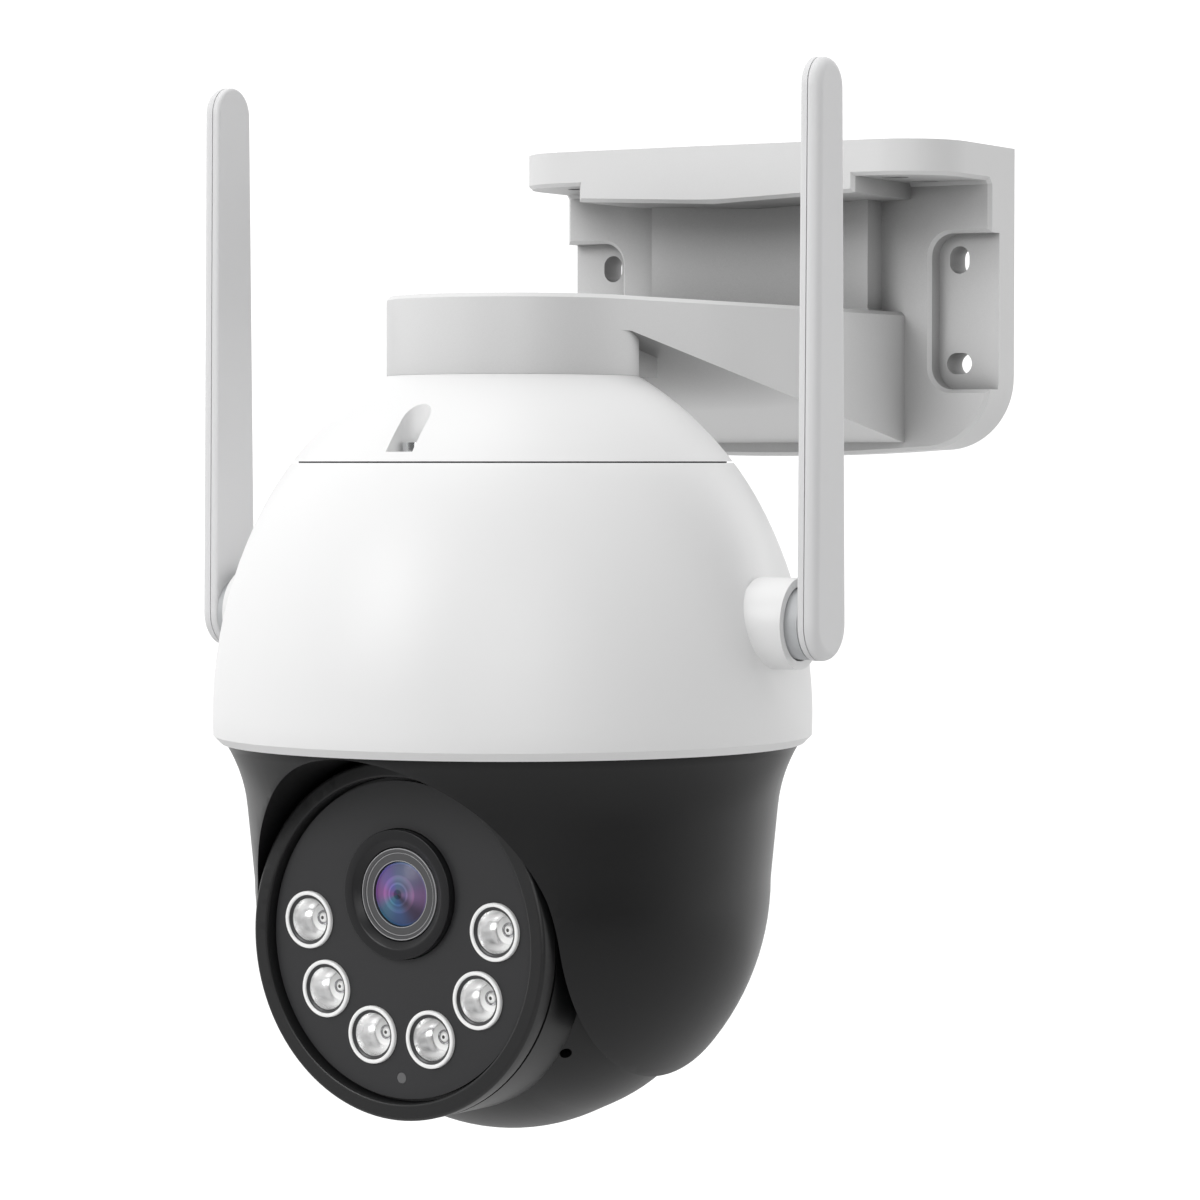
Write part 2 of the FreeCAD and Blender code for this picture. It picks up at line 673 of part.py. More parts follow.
def pinion_distance():
    return size.gear_module * (size.gear_teeth + size.pinion_teeth) / 2 + size.mesh_play


def chassis_plate():
    """Plate across the dome that carries the bearing, the motor and the board's posts."""
    low, collar = size.chassis_top - size.chassis_thick, size.bearing_outer + 2.5
    high = size.bearing_low + size.bearing_wide
    body = new_body("chassis_plate")
    revolve(body, [(size.bearing_outer - 1.5, low), (size.chassis_radius, low),
                   (size.chassis_radius, size.chassis_top), (collar, size.chassis_top), (collar, high),
                   (size.bearing_outer, high), (size.bearing_outer, size.bearing_low),
                   (size.bearing_outer - 1.5, size.bearing_low)])
    rod(body, "Subtractive", size.motor_boss + size.play, 10, (0, pinion_distance(), low - 3))
    for across in motor_ear_points(size.motor_radius, size.motor_offset):
        rod(body, "Subtractive", 1.3, 10, (across, pinion_distance(), low - 3))
    for across, along in chassis_screw_points():
        rod(body, "Subtractive", 1.6, 10, (across, along, low - 3))
    finish(body, "chassis_plate", DOME)
    down = Rotation(Vector(1, 0, 0), 180)
    group("chassis_screws", DOME, [screw((x, y, low), 2.6, 1.6, 1.25, 9, down)
                                   for x, y in chassis_screw_points()])


def bearing():
    """Ball bearing: both rings have a round groove for the balls."""
    low, high = size.bearing_low, size.bearing_low + size.bearing_wide
    middle = (low + high) / 2
    pitch = (size.bearing_outer + size.bearing_inner) / 2
    groove = size.bearing_ball + size.play
    race = 1.3
    half = root(groove * groove - race * race)
    outer = new_body("pan_bearing_outer")
    revolve(outer, [(pitch + race, low), (size.bearing_outer, low), (size.bearing_outer, high),
                    (pitch + race, high), (pitch + race, middle + half, groove, "right"),
                    (pitch + race, middle - half)])
    finish(outer, "pan_bearing_outer", DOME)
    inner = new_body("pan_bearing_inner")
    revolve(inner, [(size.bearing_inner, low), (pitch - race, low), (pitch - race, middle - half, groove,
                    "right"), (pitch - race, middle + half), (pitch - race, high),
                    (size.bearing_inner, high)])
    finish(inner, "pan_bearing_inner", PAN)
    balls = []
    for across, along in around(int(size.ball_count.value), pitch):
        ball = primitive("Sphere", Placement(), Radius=size.bearing_ball)
        bind(ball, Placement__Base__x=across, Placement__Base__y=along, Placement__Base__z=middle)
        balls.append(ball)
    group("pan_bearing_balls", DOME, balls)


def motor_ear_points(radius, offset):
    """Screw holes of a geared motor, on the line of its shaft and its can."""
    return [-offset - radius - 3.5, -offset + radius + 3.5]


def geared_motor(label, place, radius, offset, long):
    """Round geared stepper: its shaft hole is on the Z axis, and its can stands off to one side."""
    body = new_body(label)
    rod(body, "Additive", radius, long, (-offset, 0, 0))
    block(body, "Additive", -offset, radius * 2 + 14, -3.5, 7, 0, 0.8)
    rod(body, "Additive", size.motor_boss, 6, (0, 0, -1.5))
    rod(body, "Subtractive", size.motor_shaft + size.play, 8, (0, 0, -2))
    for across in motor_ear_points(radius, offset):
        rod(body, "Subtractive", 1.6, 5, (across, 0, -2))
    finish(body, label, place)


def pan_drive():
    distance, gear_low = pinion_distance(), size.lid_top
    motor_place = DOME * Placement(Vector(0, distance.value, size.chassis_top.value), Rotation())
    geared_motor("pan_motor", motor_place, size.motor_radius, size.motor_offset, size.motor_long)
    group("pan_motor_screws", DOME, [screw((x, distance, size.chassis_top + 0.8), 2.6, 1.6, 1.25, 3.6)
                                     for x in motor_ear_points(size.motor_radius, size.motor_offset)])
    azimuth = Rotation(Vector(0, 0, 1), 90)
    turned = DOME * Placement(Vector(0, 0, gear_low.value), azimuth)
    gear("pan_gear", size.gear_teeth, size.bearing_inner + 2.2, turned)
    half_tooth = 180.0 / size.pinion_teeth.value
    facing = Rotation(Vector(0, 0, 1), 90 + 180 + half_tooth)
    middle = Placement(Vector(0, distance.value, gear_low.value + 0.3), facing)
    gear("pan_pinion", size.pinion_teeth, size.motor_shaft, DOME * middle)
    shaft = new_body("pan_motor_shaft")
    rod(shaft, "Additive", size.motor_shaft, 13, (0, 0, 0))
    finish(shaft, "pan_motor_shaft", DOME * Placement(Vector(0, distance.value, -46.2), Rotation()))


# each chip's place on the main board, its width and its height
MAIN_CHIPS = ((0, -4, 14, 1.6), (-20, 6, 10, 1.2), (17, 8, 9, 1.2), (-18, -14, 8, 2.6))


def electronics():
    """Main board on four posts, with its chips and the wireless module's can."""
    posts = [upright_rod(2.5, size.chassis_top, -10, x, y)
             for x in (Formula.of(-28), Formula.of(28)) for y in (Formula.of(-23), Formula.of(17))]
    group("board_posts", DOME, posts)
    body = new_body("main_board")
    block(body, "Additive", 0, 62, -27, 50, -10, size.board_thick)
    finish(body, "main_board", DOME)
    chips = []
    for across, along, wide, tall in MAIN_CHIPS:
        chip = primitive("Box", Placement(Vector(across - wide / 2, along - wide / 2, -8.4), Rotation()),
                         Length=wide, Width=wide, Height=tall)
        chips.append(chip)
    group("board_chips", DOME, chips)
    can = new_body("wireless_can")
    block(can, "Additive", 18, 14, -20, 12, -10 + size.board_thick, 2.4)
    finish(can, "wireless_can", DOME)


# ---------------------------------------------------------------- yoke

def yoke_profile(inset):
    """Half section of the yoke, or of its hollow where it is set in."""
    sphere, centre = size.yoke_sphere - inset, size.yoke_centre
    flare = size.yoke_flare + inset
    waist, rim = size.yoke_waist - inset, size.yoke_rim - inset
    return [(0, centre - sphere, sphere, "left"), (sphere, centre), (waist, size.yoke_waist_height,
            flare, "right"), (rim, size.yoke_rim_height), (rim, size.lid_top), (0, size.lid_top)]


def tombstone(inset):
    """The space for the camera module: a round-topped opening from the front, open below."""
    half, front = size.opening_half - inset, Formula.of(60)
    arch = primitive("Cylinder", Placement(Vector(0, 0, size.tilt_height.value), ALONG_MINUS_Y),
                     Radius=half, Height=front)
    door = primitive("Box", Placement(), Length=half * 2, Width=front + size.lip_back - inset,
                     Height=60 - inset)
    bind(door, Placement__Base__x=-half, Placement__Base__y=-front, Placement__Base__z=size.tilt_height - 60)
    room = barrel(half, inset - size.module_play, Placement(Vector(0, 0, size.tilt_height.value), ALONG_X))
    return joined(arch, door, room)


LID_SCREW_POINTS = ((44, 20), (44, -20), (-44, 20), (-44, -20))


def pan_yoke():
    """Hollow fork under the dome: two cheeks around the tilting module and a wall behind it."""
    wall = size.wall
    blank = turned_solid(yoke_profile(0.0))
    hollow = turned_solid(yoke_profile(wall))
    liner = tombstone(-wall)
    posts = [upright_rod(3.6, -80, size.lid_top - size.lid_thick, x, y) for x, y in LID_SCREW_POINTS]
    inside = trimmed(hollow, liner, *posts)
    space = tombstone(Formula.of(0))
    lid_room = upright_rod(size.lid_radius + 0.1, size.lid_top - size.lid_thick, size.lid_top + 1)
    half, reach = size.opening_half, Formula.of(14)
    shaft = primitive("Cylinder", Placement(Vector(), ALONG_X), Radius=size.motor_shaft, Height=reach)
    bind(shaft, Placement__Base__x=half - 1, Placement__Base__z=size.tilt_height)
    bush = primitive("Cylinder", Placement(Vector(), ALONG_MINUS_X), Radius=7, Height=4)
    bind(bush, Placement__Base__x=-half + 1, Placement__Base__z=size.tilt_height)
    pilots = [upright_rod(1.3, -70, -45, x, y) for x, y in LID_SCREW_POINTS]
    finish(trimmed(blank, inside, space, lid_room, shaft, bush, *pilots), "pan_yoke", PAN)


def yoke_lid():
    """Lid over the yoke with the hub that turns in the bearing."""
    low, top = size.lid_top - size.lid_thick, size.lid_top
    hub_top = size.bearing_low + size.bearing_wide + 0.5
    body = new_body("yoke_lid")
    revolve(body, [(size.hub_bore, low), (size.lid_radius, low), (size.lid_radius, top),
                   (size.bearing_inner + 2.2, top), (size.bearing_inner + 2.2, size.bearing_low),
                   (size.bearing_inner, size.bearing_low), (size.bearing_inner, hub_top),
                   (size.hub_bore, hub_top)])
    for across, along in LID_SCREW_POINTS:
        rod(body, "Subtractive", 1.6, 10, (across, along, low - 2))
    finish(body, "yoke_lid", PAN)
    group("lid_screws", PAN, [screw((x, y, top), 2.6, 1.6, 1.25, 12) for x, y in LID_SCREW_POINTS])
    ring("hub_nut", PAN, size.hub_bore + 3, size.bearing_inner + 2, hub_top, hub_top + 2.5)


def tilt_bearings():
    """Flanged bush for the trunnion in one cheek, and the fixed motor shaft in the other."""
    half = size.opening_half
    bush = new_body("tilt_bush")
    bore = size.trunnion + size.play
    revolve(bush, [(bore, 0), (7, 0), (7, size.wall), (9, size.wall), (9, size.wall + 1.6),
                   (bore, size.wall + 1.6)])
    place = TILT * Placement(Vector(-half.value, 0, 0), ALONG_MINUS_X)
    finish(bush, "tilt_bush", place)
    shaft = new_body("tilt_motor_shaft")
    rod(shaft, "Additive", size.motor_shaft, 13, (0, 0, 0))
    finish(shaft, "tilt_motor_shaft", TILT * Placement(Vector(27, 0, 0), ALONG_X))


# ---------------------------------------------------------------- camera module

def barrel(half, inset, place):
    """A solid barrel along its Z axis: the module's rounded sides, set in from them.

    Each half of its outline is two arcs centred on the axis, with a straight length
    between them that touches both.
    """
    turn, flat = size.ball_turn, size.ball_flat
    middle, centre = size.ball_middle - inset, flat / cosine(turn)
    shoulder = middle - flat * sine(turn) / cosine(turn)
    first = (middle * cosine(turn), middle * sine(turn))
    second = (shoulder * cosine(turn), centre + shoulder * sine(turn))
    end = root(shoulder * shoulder - (half - centre) * (half - centre))
    solid = turned_solid([(0, -half), (end, -half, shoulder, "left"), (second[0], -second[1]),
                          (first[0], -first[1], middle, "left"), first,
                          second + (shoulder, "left"), (end, half), (0, half)])
    solid.Placement = place
    return solid


def module_solid(inset):
    """The rounded ball with the snout in front, or its hollow where it is set in."""
    half, front = size.ball_half - inset, size.shell_front
    slab = primitive("Box", Placement(), Length=half * 2, Width=front + 60, Height=100)
    bind(slab, Placement__Base__x=-half, Placement__Base__y=-front, Placement__Base__z=-50)
    kept = doc.addObject("Part::Common", "Barrel")
    kept.Base, kept.Tool = barrel(half, inset, Placement(Vector(), ALONG_X)), slab
    snout = primitive("Cylinder", Placement(Vector(), ALONG_MINUS_Y), Radius=size.snout_radius - inset,
                      Height=front)
    return joined(kept, snout)


MIC_POINT = (28.7, -23.0, -21.8)
MIC_TURN = Rotation(Vector(0, 0, 1), Vector(28.7, -27.5, -26.2))


def rear_shell():
    """The module's rounded shell, open in front, with its shaft holes and the microphone's hole."""
    outer, hollow = module_solid(Formula.of(0)), module_solid(size.wall)
    mouth = primitive("Cylinder", Placement(Vector(0, -30, 0), ALONG_MINUS_Y),
                      Radius=size.snout_radius - size.wall, Height=20)
    bore = primitive("Cylinder", Placement(Vector(-50, 0, 0), ALONG_X), Radius=size.trunnion, Height=40)
    motor = primitive("Cylinder", Placement(Vector(20, 0, 0), ALONG_X), Radius=size.motor_boss,
                      Height=40)
    hole = primitive("Cylinder", Placement(Vector(*MIC_POINT), MIC_TURN), Radius=1.2, Height=12)
    hole.Placement = hole.Placement * Placement(Vector(0, 0, -6), Rotation())
    finish(trimmed(outer, hollow, mouth, bore, motor, hole), "rear_shell", TILT)


def led_points():
    """The six lamps stand on the lower part of a circle around a point just above the centre."""
    count = int(size.led_count.value)
    return [(x, size.led_circle_up + y)
            for x, y in around(count, size.led_circle, size.led_first, -size.led_step)]


def front_ring():
    front, ledge = size.ring_front, size.panel_back - 0.5
    body = new_body("front_ring")
    outer = size.snout_radius
    revolve(body, [(29.5, size.shell_front - 1.5), (outer - size.wall, size.shell_front - 1.5),
                   (outer - size.wall, size.shell_front), (outer - 0.5, size.shell_front),
                   (outer - 0.5, size.shell_front + 0.5), (outer, size.shell_front + 0.5),
                   (outer, front - 0.5), (outer - 0.5, front), (size.ring_inner + 0.3, front),
                   (size.ring_inner, front - 0.3), (size.ring_inner, ledge), (29.5, ledge)])
    finish(body, "front_ring", FACE)
    ring("panel_seal", FACE, 29.6, size.ring_inner, ledge, size.panel_back)


def face_panel():
    body = new_body("face_panel")
    deep = size.panel_front - size.panel_back
    revolve(body, [(0, size.panel_back), (size.ring_inner - 0.1, size.panel_back),
                   (size.ring_inner - 0.1, size.panel_back + 0.6), (size.panel_radius, size.panel_back + 0.6),
                   (size.panel_radius, size.panel_front), (0, size.panel_front)])
    low = size.panel_back - 1
    rod(body, "Subtractive", size.bezel_radius, deep + 3, (0, size.lens_up, low))
    for across, up in led_points():
        rod(body, "Subtractive", size.cup_radius - 0.2, deep + 3, (across, up, low))
    rod(body, "Subtractive", size.light_sensor_radius, deep + 3, (0, -size.light_sensor_down, low))
    finish(body, "face_panel", FACE)


def lens():
    """Bezel, barrel, front glass and holder, all on the lens's own axis."""
    place = FACE * Placement(Vector(0, size.lens_up.value, 0), Rotation())
    front, barrel = size.panel_front, size.barrel_radius
    bezel = new_body("lens_bezel")
    rim, proud = size.bezel_radius - 0.25, size.bezel_proud
    revolve(bezel, [(barrel + 0.3, front - 5.2), (rim, front - 5.2), (rim, front + proud - 0.3),
                    (rim - 0.3, front + proud), (rim - 2.0, front + proud), (barrel + 1.0, front - 3.4),
                    (barrel + 0.3, front - 3.4)])
    finish(bezel, "lens_bezel", place)
    glass, tip = size.glass_radius, front + size.barrel_proud
    body = new_body("lens_barrel")
    revolve(body, [(glass + 0.1, 20), (barrel, 20), (barrel, tip - 0.2), (barrel - 0.2, tip),
                   (barrel - 0.8, tip), (barrel - 1, tip - 0.3), (glass + 0.1, tip - 0.3)])
    finish(body, "lens_barrel", place)
    dome, low = Formula.of(16.0), tip - 3.4
    front_glass = new_body("lens_glass")
    revolve(front_glass, [(0, low), (glass, low), (glass, tip - 0.9, dome, "left"),
                          (0, tip - 0.9 + dome - root(dome * dome - glass * glass))])
    finish(front_glass, "lens_glass", place)
    rear = new_body("lens_rear_glass")
    revolve(rear, [(0, 22), (5, 22), (5, 24), (0, 26)])
    finish(rear, "lens_rear_glass", place)
    spacer = new_body("lens_spacer")
    revolve(spacer, [(5, 21.5), (glass + 0.1, 21.5), (glass + 0.1, low), (5.8, low), (5.8, 25), (5, 25)])
    finish(spacer, "lens_spacer", place)
    holder = new_body("lens_holder")
    board = size.sensor_board_front
    revolve(holder, [(8, board), (12, board), (12, board + 2), (barrel + 1.6, board + 2),
                     (barrel + 1.6, 26), (barrel, 26), (barrel, 20), (8, 20)])
    finish(holder, "lens_holder", place)


def light_cups():
    """Six polished reflectors with their lamps, and the light sensor."""
    cups, lamps = [], []
    low, top, radius = size.led_board_front, size.panel_front + size.cup_proud, size.cup_radius
    for across, up in led_points():
        cup = turned_solid([(2.2, low), (3.0, low), (radius - 0.2, size.panel_back - 1.2),
                            (radius - 0.2, size.panel_front), (radius, size.panel_front), (radius, top),
                            (radius - 0.5, top, 12.0, "right"), (2.2, low + 0.8)])
        cup.Placement = Placement(Vector(across.value, up.value, 0), Rotation())
        cups.append(cup)
        lamp = turned_solid([(0, low), (1.7, low), (1.7, low + 1.6, 1.7, "left"), (0, low + 3.3)])
        lamp.Placement = Placement(Vector(across.value, up.value, 0), Rotation())
        lamps.append(lamp)
    group("led_reflectors", FACE, cups)
    group("led_lamps", FACE, lamps)
    sensor = new_body("light_sensor")
    rod(sensor, "Additive", size.light_sensor_radius - 0.05, size.panel_front - low,
        (0, -size.light_sensor_down, low))
    finish(sensor, "light_sensor", FACE)


def module_boards():
    thick = size.board_thick
    body = new_body("led_board")
    low = size.led_board_front - thick
    revolve(body, [(0, low), (30.5, low), (30.5, low + thick), (0, low + thick)])
    rod(body, "Subtractive", 11.2, 6, (0, size.lens_up, low - 2))
    finish(body, "led_board", FACE)
    board = new_body("sensor_board")
    back = size.sensor_board_front - thick
    block(board, "Additive", 0, 36, size.lens_up - 18, 36, back, thick)
    finish(board, "sensor_board", FACE)
    chip = new_body("image_sensor")
    block(chip, "Additive", 0, 8, size.lens_up - 4, 8, size.sensor_board_front, 1)
    finish(chip, "image_sensor", FACE)
    posts = [upright_rod(1.8, size.sensor_board_front, low, x, size.lens_up + y)
             for x in (-15, 15) for y in (-15, 15)]
    group("sensor_posts", FACE, posts)


def tilt_drive():
    """The motor inside the module, which turns the module about its own fixed shaft."""
    wall_inside = size.ball_half - size.wall
    geared_motor("tilt_motor", TILT * Placement(Vector(wall_inside.value, 0, 0), tilt_motor_turn()),
                 size.tilt_motor_radius, size.tilt_motor_offset, size.tilt_motor_long)
    trunnion = new_body("tilt_trunnion")
    revolve(trunnion, [(3.2, 0), (8, 0), (8, 1.6), (size.trunnion, 1.6), (size.trunnion, 10), (3.2, 10)])
    inside = TILT * Placement(Vector(-wall_inside.value + 1.6, 0, 0), ALONG_MINUS_X)
    finish(trunnion, "tilt_trunnion", inside)


def tilt_motor_turn():
    """Turn the motor so that its shaft points along +X and its can hangs towards the back."""
    return Rotation(Vector(0, -1, 0), Vector(0, 0, 1), Vector(-1, 0, 0), "ZXY")


# ---------------------------------------------------------------- antennas

def blade_outline():
    """Side view of the blade: a large round end at the hinge and a smaller one at the tip."""
    big, small, long = size.blade_root, size.blade_tip, size.blade_long
    lean = (big - small) / long
    up = root(1 - lean * lean)
    return [(big * up, big * lean), (small * up, long + small * lean, small, "left"),
            (0, long + small, small, "left"), (-(small * up), long + small * lean),
            (-(big * up), big * lean, big, "left"), (0, -big, big, "left")]


def antenna(name, side):
    """Blade of two moulded halves with its aerial strip, and the pivot in the dome's cup."""
    hinge = Placement(Vector(0, 0, size.boss_height.value), Rotation())
    place = DOME * hinge if side > 0 else DOME * hinge * Placement(Vector(), Rotation(Vector(0, 0, 1), 180))
    inner_face, half, seam = size.blade_inner, size.blade_half_thick, size.blade_seam
    inner = new_body(name + "_inner_half")
    pad(inner, "YZ_Plane", blade_outline(), half - seam, inner_face)
    block_low = inner_face + half - seam - 0.8
    strip_room = inner.newObject("PartDesign::SubtractiveBox", "StripRoom")
    bind(strip_room, Length=2, Width=5, Height=84)
    bind(strip_room, Placement__Base__x=block_low, Placement__Base__y=-2.5, Placement__Base__z=14)
    face = inner_face.value
    ease(inner, "Fillet", 0.7, lambda box, edge: box.XLength < 0.01 and abs(box.XMin - face) < 0.01)
    finish(inner, name + "_inner_half", place)
    outer = new_body(name + "_outer_half")
    outer_low = inner_face + half + seam
    pad(outer, "YZ_Plane", blade_outline(), half - seam + size.blade_crown, outer_low)
    crown = (inner_face + half * 2 + size.blade_crown).value
    ease(outer, "Fillet", 2.0, lambda box, edge: box.XLength < 0.01 and abs(box.XMin - crown) < 0.01)
    finish(outer, name + "_outer_half", place)
    strip = new_body(name + "_aerial")
    feature = strip.newObject("PartDesign::AdditiveBox", "Strip")
    bind(feature, Length=0.8 + seam * 2, Width=4.6, Height=82)
    bind(feature, Placement__Base__x=block_low, Placement__Base__y=-2.3, Placement__Base__z=15)
    finish(strip, name + "_aerial", place)
    pivot = new_body(name + "_pivot")
    hub = size.boss_bore - 0.35
    floor = size.boss_floor + 0.3
    end = size.boss_floor - 6.2
    revolve(pivot, [(0, end), (size.pivot_radius, end), (size.pivot_radius, floor), (hub, floor),
                    (hub, inner_face), (0, inner_face)])
    turned = place * Placement(Vector(), ALONG_X)
    finish(pivot, name + "_pivot", turned)
    ring(name + "_clip", turned, size.pivot_radius, size.pivot_radius + 2, end, end + 1.4)


# ---------------------------------------------------------------- the camera

def export():
    """Refuse a failed object, then write one file for each sub-part."""
    doc.recompute()
    failed = [item.Name for item in doc.Objects if "Invalid" in item.State or "Error" in item.State]
    for piece in pieces:
        if piece.Shape.isNull() or not piece.Shape.isValid():
            failed.append(piece.Label)
    if failed:
        raise RuntimeError("failed objects: " + ", ".join(failed))
    os.makedirs("parts", exist_ok=True)
    for piece in pieces:
        piece.Shape.exportStep("parts/%s.step" % piece.Label)
        print("%-28s solids %2d  volume %9.1f" % (piece.Label, len(piece.Shape.Solids), piece.Shape.Volume))


wall_bracket()
dome_cap()
dome_housing()
dome_trim()
chassis_plate()
bearing()
pan_drive()
electronics()
pan_yoke()
yoke_lid()
tilt_bearings()
rear_shell()
front_ring()
face_panel()
lens()
light_cups()
module_boards()
tilt_drive()
antenna("antenna_right", 1)
antenna("antenna_left", -1)
export()
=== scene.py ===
import json
import math

import bmesh
import bpy
from mathutils import Matrix, Vector


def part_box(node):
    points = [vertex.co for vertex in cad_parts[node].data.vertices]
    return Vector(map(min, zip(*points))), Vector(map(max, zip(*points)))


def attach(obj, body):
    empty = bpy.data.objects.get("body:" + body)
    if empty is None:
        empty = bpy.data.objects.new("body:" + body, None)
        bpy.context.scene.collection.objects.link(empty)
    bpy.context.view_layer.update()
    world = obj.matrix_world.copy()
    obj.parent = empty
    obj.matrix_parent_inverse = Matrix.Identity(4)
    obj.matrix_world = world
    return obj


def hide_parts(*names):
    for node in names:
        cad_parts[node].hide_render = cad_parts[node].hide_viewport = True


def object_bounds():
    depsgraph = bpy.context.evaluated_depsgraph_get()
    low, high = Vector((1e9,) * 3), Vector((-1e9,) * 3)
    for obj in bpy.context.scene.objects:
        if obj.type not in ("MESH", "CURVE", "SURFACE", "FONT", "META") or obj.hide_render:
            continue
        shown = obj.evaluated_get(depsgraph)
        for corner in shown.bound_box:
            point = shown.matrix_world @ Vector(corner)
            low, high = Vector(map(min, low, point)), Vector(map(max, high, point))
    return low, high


# Pan and tilt dome camera on its bracket. Everything is in metres, in the row frame:
# +Z up, +Y into the wall, the camera looks along -Y.

MM = 0.001

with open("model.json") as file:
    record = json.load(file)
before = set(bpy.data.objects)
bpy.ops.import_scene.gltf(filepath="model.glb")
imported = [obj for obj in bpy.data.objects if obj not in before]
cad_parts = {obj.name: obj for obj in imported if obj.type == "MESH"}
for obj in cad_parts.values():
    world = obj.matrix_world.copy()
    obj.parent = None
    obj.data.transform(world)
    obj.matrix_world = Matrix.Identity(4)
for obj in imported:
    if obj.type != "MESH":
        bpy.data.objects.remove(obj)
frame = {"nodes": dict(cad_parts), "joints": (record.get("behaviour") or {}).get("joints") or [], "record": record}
cad_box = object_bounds()
joints = {joint["name"]: joint for joint in frame["joints"]}
PAN_AXIS = Vector(joints["pan"]["pos_m"])
TILT_CENTRE = Vector(joints["tilt"]["pos_m"])
TILT_AXIS = Vector(joints["tilt"]["axis"]).normalized()
SEAM_BELOW_CAP = 0.2 * MM
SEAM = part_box("dome_cap")[0].z - SEAM_BELOW_CAP    # the seam's middle height

VIEW_AZIMUTH = 29.7                                # degrees round from straight on, towards +X
VIEW_RIGHT = Vector((math.cos(math.radians(VIEW_AZIMUTH)), math.sin(math.radians(VIEW_AZIMUTH)), 0))
VIEW_AHEAD = Vector((-VIEW_RIGHT.y, VIEW_RIGHT.x, 0))

FLOOR_BELOW, FLOOR_HALF = 1.5, 6.0                 # the object hangs on a wall, well above the floor
FLOOR_TINT = (0.78, 0.78, 0.78)
DIM, BRIGHT = 0.15, 1.18                           # the surround's light in front and behind
SURROUND_FADE = (-0.75, 0.25)                      # where it fades, from -1 in front to 1 behind
LIGHTS = (                                         # name, right, near, up, wide, watts
    ("key", -1.1, 0.9, 0.7, 0.8, 9.5),
    ("top", -0.3, 0.2, 1.5, 1.0, 5.0),
    ("fill", 0.1, 1.5, 0.4, 1.0, 6.5),
)

# The camera module's face: X to its right, Y up, Z out of the face.
FACE_OUT = TILT_AXIS.cross(Vector((0, 0, 1)))
FACE_TURN = Matrix((TILT_AXIS, Vector((0, 0, 1)), FACE_OUT)).transposed()
FACE = Matrix.Translation(TILT_CENTRE) @ FACE_TURN.to_4x4()


# ---------------------------------------------------------------- node helpers

MIX_FIRST, MIX_SECOND, MIX_RESULT = 6, 7, 2        # the colour sockets of a Mix node


class Graph:
    """A material's node tree with short calls to add and join nodes."""

    def __init__(self, name):
        self.material = bpy.data.materials.new(name)
        self.material.use_nodes = True
        self.tree = self.material.node_tree
        self.tree.nodes.clear()
        self.output = self.add("ShaderNodeOutputMaterial")
        self.shader = self.add("ShaderNodeBsdfPrincipled")
        self.join(self.shader, "BSDF", self.output, "Surface")

    def add(self, kind, **settings):
        node = self.tree.nodes.new(kind)
        for name, value in settings.items():
            setattr(node, name, value)
        return node

    def join(self, source, out, target, into):
        self.tree.links.new(source.outputs[out], target.inputs[into])

    def set(self, **values):
        """Set sockets of the main shader; underscores stand for spaces."""
        for name, value in values.items():
            self.shader.inputs[name.replace("_", " ")].default_value = value

    def noise(self, scale, detail=2.0, rough=0.5):
        coord = self.add("ShaderNodeTexCoord")
        node = self.add("ShaderNodeTexNoise")
        node.inputs["Scale"].default_value = scale
        node.inputs["Detail"].default_value = detail
        node.inputs["Roughness"].default_value = rough
        self.join(coord, "Object", node, "Vector")
        return node

    def spread(self, source, out, low, high, from_low=0.3, from_high=0.7):
        """Map a value to a range."""
        node = self.add("ShaderNodeMapRange")
        ends = (("From Min", from_low), ("From Max", from_high), ("To Min", low), ("To Max", high))
        for name, value in ends:
            node.inputs[name].default_value = value
        self.join(source, out, node, "Value")
        return node

    def ramp(self, source, out, stops, smooth=False):
        node = self.add("ShaderNodeValToRGB")
        ramp = node.color_ramp
        if smooth:
            ramp.interpolation = "EASE"
        while len(ramp.elements) < len(stops):
            ramp.elements.new(0.5)
        for element, (place, colour) in zip(ramp.elements, stops):
            element.position = place
            element.color = (*colour, 1)
        self.join(source, out, node, "Fac")
        return node

    def multiply(self, first, first_out, second, second_out):
        """Multiply two colours and lay the result on the main shader."""
        mix = self.add("ShaderNodeMix", data_type="RGBA", blend_type="MULTIPLY")
        mix.inputs[0].default_value = 1.0
        self.join(first, first_out, mix, MIX_FIRST)
        self.join(second, second_out, mix, MIX_SECOND)
        self.join(mix, MIX_RESULT, self.shader, "Base Color")

    def bump(self, source, out, strength, distance):
        node = self.add("ShaderNodeBump")
        node.inputs["Strength"].default_value = strength
        node.inputs["Distance"].default_value = distance
        self.join(source, out, node, "Height")
        self.join(node, "Normal", self.shader, "Normal")
        return node


PAINTED_SHADE_REACH = 35 * MM     # how far away a wall still darkens a corner with painted shade
CLOUD_SCALE = 18.0         # blotches per metre in a plastic's tint and gloss
PLASTIC_DEPTH = 0.03 * MM  # how deep the grain of plastic is
METAL_DEPTH = 0.02 * MM    # and that of metal


def shade(colour, factor):
    return tuple(min(1.0, part * factor) for part in colour)


